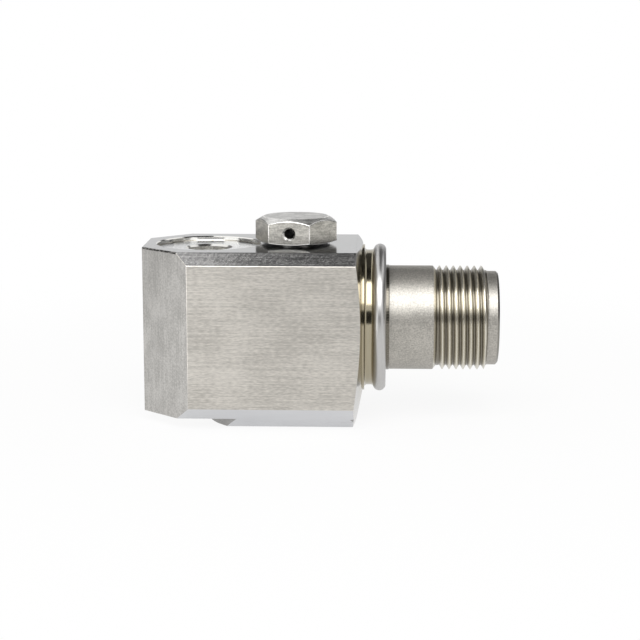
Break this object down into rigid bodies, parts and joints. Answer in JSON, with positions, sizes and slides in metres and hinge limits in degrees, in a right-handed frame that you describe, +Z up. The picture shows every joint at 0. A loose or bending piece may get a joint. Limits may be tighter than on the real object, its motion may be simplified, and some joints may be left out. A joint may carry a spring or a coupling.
{
  "type": "vibration sensor",
  "caption": "Low-profile side-exit vibration and temperature sensor: chamfered stainless block on a round pad, hex mounting screw with drilled head, threaded cable connector.",
  "frame": {"origin": "middle of the base of the overall bounding box, in the plane of the mounting pad", "axes": "+Z up, away from the mounting pad and along the mounting screw; +X along the connector, towards its rim"},
  "size_m": [0.0534, 0.0248, 0.0306],
  "materials": {
    "brushed_stainless": "fine horizontal brushing on the sides, ground chamfers, half-bright top face, polished turned end",
    "lid_stainless": "fine turned, half bright",
    "screw_stainless": "satin cold-headed stainless with worn bright edges",
    "blasted_stainless": "bead-blasted satin, bright on the thread's crests",
    "seal_glass": "dark fused glass, glossy",
    "contact_plating": "gold-coloured plating, smooth",
    "circuit_board": "green solder resist over woven glass",
    "moulded_black": "matt black moulding",
    "contact_brass": "plain rolled brass",
    "alumina": "unglazed white ceramic",
    "inner_stainless": "fine turned",
    "piezo_ceramic": "fine matt ceramic",
    "tungsten": "dull sintered metal",
    "capacitor_body": "yellow-brown moulding",
    "red_sleeve": "smooth insulation",
    "black_sleeve": "smooth insulation"
  },
  "bodies": {
    "root": {"housing": "brushed_stainless", "chamber_lid": "lid_stainless", "mounting_screw": "screw_stainless", "connector_shell": "blasted_stainless", "seal_insert": "seal_glass", "contact_pin_a": "contact_plating", "contact_pin_b": "contact_plating", "contact_pin_c": "contact_plating", "terminal_board": "circuit_board", "temperature_sensor": "moulded_black", "temperature_lead_front": "contact_brass", "temperature_lead_back": "contact_brass", "isolation_disc": "alumina", "element_base": "inner_stainless", "crystal_left": "piezo_ceramic", "crystal_right": "piezo_ceramic", "contact_shim_left": "contact_brass", "contact_shim_right": "contact_brass", "seismic_mass_left": "tungsten", "seismic_mass_right": "tungsten", "clamp_bolt": "inner_stainless", "clamp_nut": "inner_stainless", "shield_can": "contact_brass", "crystal_lead_left": "contact_brass", "crystal_lead_right": "contact_brass", "board_spacer": "moulded_black", "amplifier_board": "circuit_board", "amplifier_chip": "moulded_black", "filter_capacitor": "capacitor_body", "bias_resistor": "moulded_black", "signal_lead": "red_sleeve", "return_lead": "black_sleeve"}
  },
  "joints": []
}
